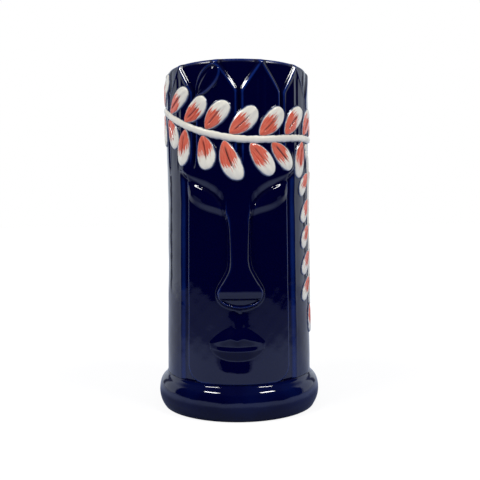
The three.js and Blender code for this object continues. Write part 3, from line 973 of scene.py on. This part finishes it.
def blue_glaze():
    """The cobalt glaze, with gritty bare clay where it was wiped off."""
    shader = Shader("cobalt_glaze")
    colour = blue_colour(shader, shader.attribute("convex"))
    bare = shader.attribute("bare")
    grit = shader.noise(shader.position(), 1400, 3, 0.7)
    clay = shader.mix(grit, BARE_CLAY, BARE_CLAY_SHADE)
    colour = shader.mix(shader.step(0.45, 0.75, bare), colour, clay)
    return glazed(shader, colour, BLUE_ROUGHNESS, shader.times(bare, BARE_MATT))


def edge_blend(shader, inner_colour, wobble):
    """Painted colour that ends in a slate line where the blue glaze has run against it."""
    rim = shader.plus(shader.attribute("rim"), wobble)
    halo = shader.mix(shader.step(0.86, 1.0, rim), inner_colour, SLATE_EDGE)
    blue = blue_colour(shader, shader.attribute("convex"))
    return shader.mix(shader.step(0.97, 1.1, rim), halo, blue)


def coral_cover(shader, streaks, fine):
    """Where the brush has been: from a leaf's base to a ragged end past its middle, farthest by its spine."""
    off_spine = shader.times(shader.minus(shader.attribute("side"), 0.15), 0.5)
    reach = shader.minus(PAINT_REACH, shader.times(off_spine, off_spine))
    ragged = shader.plus(reach, shader.centred(streaks, 0.9))
    ragged = shader.plus(ragged, shader.centred(fine, 0.25))
    over = shader.minus(ragged, shader.attribute("share"))
    edge = shader.plus(shader.attribute("rim"), shader.centred(fine, 0.2))
    return shader.times(shader.step(-0.03, 0.06, over), shader.step(0.93, 0.84, edge))


def leaf_glaze():
    """Ivory leaves brushed with coral, with a dark line in the slit."""
    shader = Shader("painted_leaf")
    stroke = shader.attribute("stroke", "Vector")
    streaks = shader.noise(shader.vector("MULTIPLY", stroke, (0.16, 2.1, 1.0)), 1.0, 3, 0.6)
    fine = shader.noise(shader.vector("MULTIPLY", stroke, (0.3, 5.5, 1.0)), 1.0, 2, 0.6)
    mottle = shader.noise(shader.vector("MULTIPLY", stroke, (0.5, 0.5, 1.0)), 1.0, 2)
    ivory = shader.mix(mottle, IVORY, IVORY_SHADE)
    coral = shader.mix(shader.step(0.35, 0.7, fine), CORAL, CORAL_THIN)
    coral = shader.mix(shader.step(0.48, 0.7, streaks), coral, CORAL_DEEP)
    painted = shader.mix(coral_cover(shader, streaks, fine), ivory, coral)
    painted = shader.mix(shader.attribute("vein"), painted, VEIN_BROWN)
    colour = edge_blend(shader, painted, shader.centred(mottle, 0.12))
    return glazed(shader, colour, LEAF_ROUGHNESS)


def vine_glaze():
    """The ivory stems, which end in a slate line against the blue."""
    shader = Shader("ivory_vine")
    mottle = shader.noise(shader.attribute("place", "Vector"), 0.55, 3)
    ivory = shader.mix(mottle, IVORY, IVORY_SHADE)
    rim = shader.plus(shader.attribute("rim"), shader.centred(mottle, 0.1))
    colour = shader.mix(shader.step(0.95, 1.12, rim), ivory, SLATE_EDGE)
    colour = shader.mix(shader.step(1.1, 1.25, rim), colour, DEEP_BLUE)
    return glazed(shader, colour, VINE_ROUGHNESS)


# ---- The mug ----
def make_leaves(blue, painted):
    """Every leaf, a little longer and wider than its CAD node for the glaze."""
    draw = np.random.default_rng(7)
    for node in sorted(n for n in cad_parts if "_leaf" in n):
        is_crown = node == "crown_leaf"
        base, tip, half = leaf_axis(node, base_is_low=is_crown or node.startswith("upper"))
        along = (tip - base) / np.linalg.norm(tip - base)
        base = base - along * LEAF_TUCK
        tip = tip + along * LEAF_REACH
        material, slot = (blue, "blue_glaze") if is_crown else (painted, "leaf_glaze")
        make_leaf(f"{node}_glazed", base, tip, half * LEAF_SPREAD, material, slot, node, draw, is_crown)


def make_mug():
    blue, vine = blue_glaze(), vine_glaze()
    make_barrel(blue)
    make_mask(blue)
    make_foot(blue)
    make_vine("wreath_stem", wreath_centre(), 1.2, True, vine, "wreath_vine")
    make_vine("tail_stem", tail_centre(), 1.1, False, vine, "tail_vine")
    make_leaves(blue, leaf_glaze())


# ---- Studio ----
WHITE = (1, 1, 1, 1)
FLOOR_RADIUS = 6
FLOOR_GREY = (0.16, 0.16, 0.165, 1)  # what light and shadow fall on
FLOOR_GLOW_WITH_PAINTED_SHADOW = (0.86, 1.1)  # the floor's glow to the camera, by the mug and away from it: lower by the mug as a painted shadow
PAINTED_SHADOW_SPAN = (0.1, 0.35)  # the painted shadow lifts and the glow grows between these distances from the mug's middle
TABLE_GREY = (0.15, 0.18, 0.30, 1)
TABLE_PAINTED_LIGHT = (0.4, 0.48, 0.75, 1)  # a painted pool of light nearer the mug, where the lights fall
BACKDROP = (0.5, 0.55, 0.68, 1)  # what the table turns into behind the mug
TABLE_EDGE = 0.6
EDGE_FADE = 0.09


def table_in_reflections(shader, distance):
    """A round grey table top with a painted pool of light in a ring round the mug and painted shade close to
    the foot, and a backdrop instead of its back half.
    """
    # painted pool of light in a ring round the mug, with painted shade inside it by the foot
    painted_light_ring = shader.times(shader.step(0.05, 0.09, distance), shader.step(0.3, 0.16, distance))
    top = shader.node("ShaderNodeBsdfDiffuse", Color=shader.mix(painted_light_ring, TABLE_GREY, TABLE_PAINTED_LIGHT))
    backdrop = shader.node("ShaderNodeEmission", Color=BACKDROP)
    behind = shader.step(0.0, 0.1, shader.part(shader.position(), "Y"))
    table = shader.mix_surfaces(behind, top.outputs[0], backdrop.outputs[0])
    beyond = shader.step(TABLE_EDGE - EDGE_FADE, TABLE_EDGE + EDGE_FADE, distance)
    return shader.mix_surfaces(beyond, table, shader.node("ShaderNodeBsdfTransparent").outputs[0])


def make_floor():
    """A pale floor that glows for the camera, with a painted shadow where its glow is lower by the mug, and a
    diffuse part that takes the lamps' soft shadow. In reflections it is a grey table top that ends, with a
    painted pool of light round the mug.
    """
    bpy.ops.mesh.primitive_circle_add(vertices=96, radius=FLOOR_RADIUS, fill_type="NGON", location=(0, 0, 0))
    floor = bpy.context.object
    floor.name = "floor"
    shader = Shader("pale_floor")
    distance = shader.vector("LENGTH", shader.vector("MULTIPLY", shader.position(), (1, 1, 0)))

    shadowed = shader.node("ShaderNodeBsdfDiffuse", Color=FLOOR_GREY)
    # the glow is lower by the mug than away from it: a painted shadow
    away = shader.times(shader.step(*PAINTED_SHADOW_SPAN, distance), FLOOR_GLOW_WITH_PAINTED_SHADOW[1] - FLOOR_GLOW_WITH_PAINTED_SHADOW[0])
    strength = shader.plus(away, FLOOR_GLOW_WITH_PAINTED_SHADOW[0])
    glow_with_painted_shadow = shader.node("ShaderNodeEmission", Color=WHITE, Strength=strength)
    seen = shader.fed("ShaderNodeAddShader", shadowed.outputs[0], glow_with_painted_shadow.outputs[0])

    reflected = table_in_reflections(shader, distance)
    surface = shader.mix_surfaces(shader.ray_is("Camera"), reflected, seen.outputs[0])
    shader.feed(shader.tree.nodes["Material Output"].inputs["Surface"], surface)
    floor.data.materials.append(shader.material)


# Brightness round the room by how far a level direction points backwards, from 0 (the sides and all the
# front) to 1: dark in front, with bright panels behind on both sides and straight behind
ROOM = [
    (0, 0.004), (0.19, 0.006), (0.26, 0.7), (0.7, 0.75), (0.75, 0.1), (0.81, 0.1), (0.85, 0.75), (1, 0.7),
]
PANEL_TINT = (1, 1.1, 1.25)
CEILING = (0.03, 0.033, 0.04, 1)
CEILING_SPAN = (0.45, 0.7)  # the upward part of a direction over which the panels turn into the ceiling
ROOM_FILL = (0.55, 0.55, 0.57, 1)  # the even light that reaches matt colours from all round


def make_world():
    """White for the camera, even light for matt colours, and a dark room with bright panels for gloss."""
    world = bpy.data.worlds.new("studio")
    bpy.context.scene.world = world
    world.use_nodes = True
    nodes = Nodes(world.node_tree)
    direction = nodes.node("ShaderNodeTexCoord").outputs["Generated"]
    level_direction = nodes.vector("NORMALIZE", nodes.vector("MULTIPLY", direction, (1, 1, 0)))
    panels = nodes.node("ShaderNodeValToRGB", Fac=nodes.part(level_direction, "Y"))
    elements = panels.color_ramp.elements
    while len(elements) < len(ROOM):
        elements.new(0.5)
    for element, (at, level) in zip(elements, ROOM):
        element.position = at
        element.color = tuple(level * tint for tint in PANEL_TINT) + (1,)
    above = nodes.step(*CEILING_SPAN, nodes.part(direction, "Z"))
    room = nodes.mix(above, panels.outputs["Color"], CEILING)
    filled = nodes.mix(nodes.ray_is("Diffuse"), room, ROOM_FILL)
    colour = nodes.mix(nodes.ray_is("Camera"), filled, WHITE)
    nodes.feed(nodes.tree.nodes["Background"].inputs["Color"], colour)


LIGHT_AZIMUTH = 52  # degrees to each side of the front
LIGHT_ELEVATION = 46
LIGHT_DISTANCE = 0.6
LIGHT_SIZE = (0.2, 0.065)
LIGHT_WATTS = 1.6


def make_lights():
    """A wide flat soft light on each side in front, aimed at the mug's middle."""
    middle = (cad_low + cad_high) / 2
    for side in (-1, 1):
        light = bpy.data.lights.new(f"soft_light_{side}", "AREA")
        light.shape = "RECTANGLE"
        light.size, light.size_y = LIGHT_SIZE
        light.energy = LIGHT_WATTS
        lamp = new_object(light.name, light)
        turn, lift = math.radians(LIGHT_AZIMUTH * side), math.radians(LIGHT_ELEVATION)
        away = Vector((math.sin(turn) * math.cos(lift), -math.cos(turn) * math.cos(lift), math.sin(lift)))
        lamp.location = middle + away * LIGHT_DISTANCE
        lamp.rotation_euler = (-away).to_track_quat("-Z", "Y").to_euler()


CAMERA_DISTANCE = 0.334  # from the mug's middle
EYE_SHARE = 0.567  # the camera's height as a share of the mug's
AIM_SHARE = 0.495  # and the height it looks at
AIM_X = 0.001
FIELD_OF_VIEW = 40.0  # degrees
ROLL = -0.46  # degrees


def make_camera():
    """The photo's view, from straight in front and a little over the mug's middle."""
    camera = new_object("camera", bpy.data.cameras.new("camera"))
    camera.data.angle = math.radians(FIELD_OF_VIEW)
    camera.location = (0, -CAMERA_DISTANCE, EYE_SHARE * cad_high.z)
    aim = Vector((AIM_X, 0, AIM_SHARE * cad_high.z))
    look = (aim - camera.location).to_track_quat("-Z", "Y")
    roll = Matrix.Rotation(math.radians(ROLL), 4, "Z")
    camera.matrix_world = Matrix.Translation(camera.location) @ look.to_matrix().to_4x4() @ roll
    camera.data.clip_start = 0.01
    bpy.context.scene.camera = camera
    bpy.context.scene.view_settings.view_transform = "Standard"


make_camera()
make_lights()
make_world()
make_floor()
make_mug()
